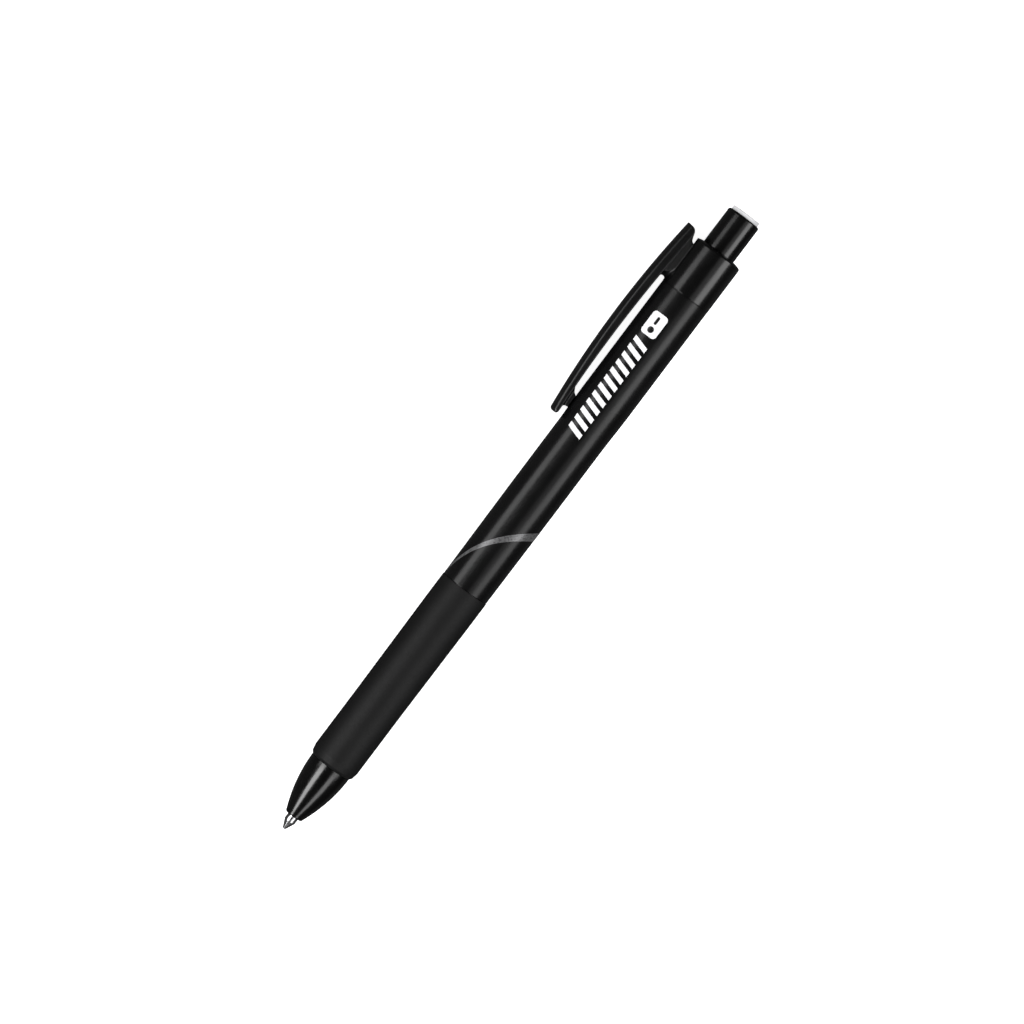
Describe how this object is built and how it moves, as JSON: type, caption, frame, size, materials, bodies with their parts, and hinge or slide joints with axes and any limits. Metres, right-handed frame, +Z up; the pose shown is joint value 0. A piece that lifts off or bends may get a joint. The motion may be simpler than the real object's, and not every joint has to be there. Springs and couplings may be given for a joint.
{
  "type": "retractable gel pen",
  "caption": "Black retractable gel pen with a rubber grip, pocket clip and push button, whose click mechanism moves a gel refill in and out.",
  "frame": {"origin": "centre of the bounding box, on the surface that the pen lies on", "axes": "+X along the pen from the writing point to the button, +Z up; the pen lies on its side with the clip towards +Y, rolled down until its edge is as low as the collar"},
  "size_m": [0.1448, 0.0138, 0.0104],
  "materials": {
    "glossy_black": "polished black",
    "barrel_black": "satin gloss black",
    "grip_rubber": "matte black",
    "natural_plastic": "uncoloured, slightly translucent",
    "pale_plug": "pale grey",
    "clear_tube": "clear",
    "gel_ink": "wet black gel",
    "follower_grease": "clear yellowish grease",
    "tip_steel": "turned stainless steel",
    "ball_carbide": "polished tungsten carbide",
    "spring_steel": "drawn wire",
    "white_print": "white pad print on the barrel",
    "silver_print": "grey silver print on the barrel"
  },
  "bodies": {
    "pen": {"nose_cone": "glossy_black", "rubber_grip": "grip_rubber", "barrel": "barrel_black", "top_collar": "glossy_black", "cam_sleeve": "natural_plastic", "return_spring": "spring_steel"},
    "clip": {"pocket_clip": "glossy_black"},
    "button": {"push_button": "glossy_black", "button_end_plug": "pale_plug", "cam_plunger": "natural_plastic"},
    "refill": {"refill_tube": "clear_tube", "ink_column": "gel_ink", "grease_follower": "follower_grease", "refill_tail_plug": "natural_plastic", "tip_holder": "natural_plastic", "metal_tip": "tip_steel", "ball_spring": "spring_steel"},
    "rotor": {"cam_rotor": "natural_plastic"},
    "ball": {"writing_ball": "ball_carbide"}
  },
  "joints": [
    {"name": "button_slide", "type": "slide", "parent": "pen", "child": "button", "axis": [1, 0, 0], "range_m": [-0.0012, 0.0046]},
    {"name": "refill_slide", "type": "slide", "parent": "pen", "child": "refill", "axis": [1, 0, 0], "range_m": [-0.0012, 0.0046], "deforming": ["return_spring"]},
    {"name": "rotor_index", "type": "hinge", "parent": "refill", "child": "rotor", "pos_m": [0.04105, -0.00173, 0.0052], "axis": [1, 0, 0], "continuous": true},
    {"name": "clip_flex", "type": "hinge", "parent": "pen", "child": "clip", "pos_m": [0.05405, 0.00645, 0.00216], "axis": [0, -0.3484, -0.9373], "range_deg": [0, 6], "stiffness_Nm_per_rad": 1.2},
    {"name": "ball_roll", "type": "hinge", "parent": "refill", "child": "ball", "pos_m": [-0.0722, -0.00173, 0.0052], "axis": [0, 0.3484, 0.9373], "continuous": true}
  ],
  "couplings": [
    {"joint": "refill_slide", "follows": "button_slide", "ratio": 1}
  ]
}
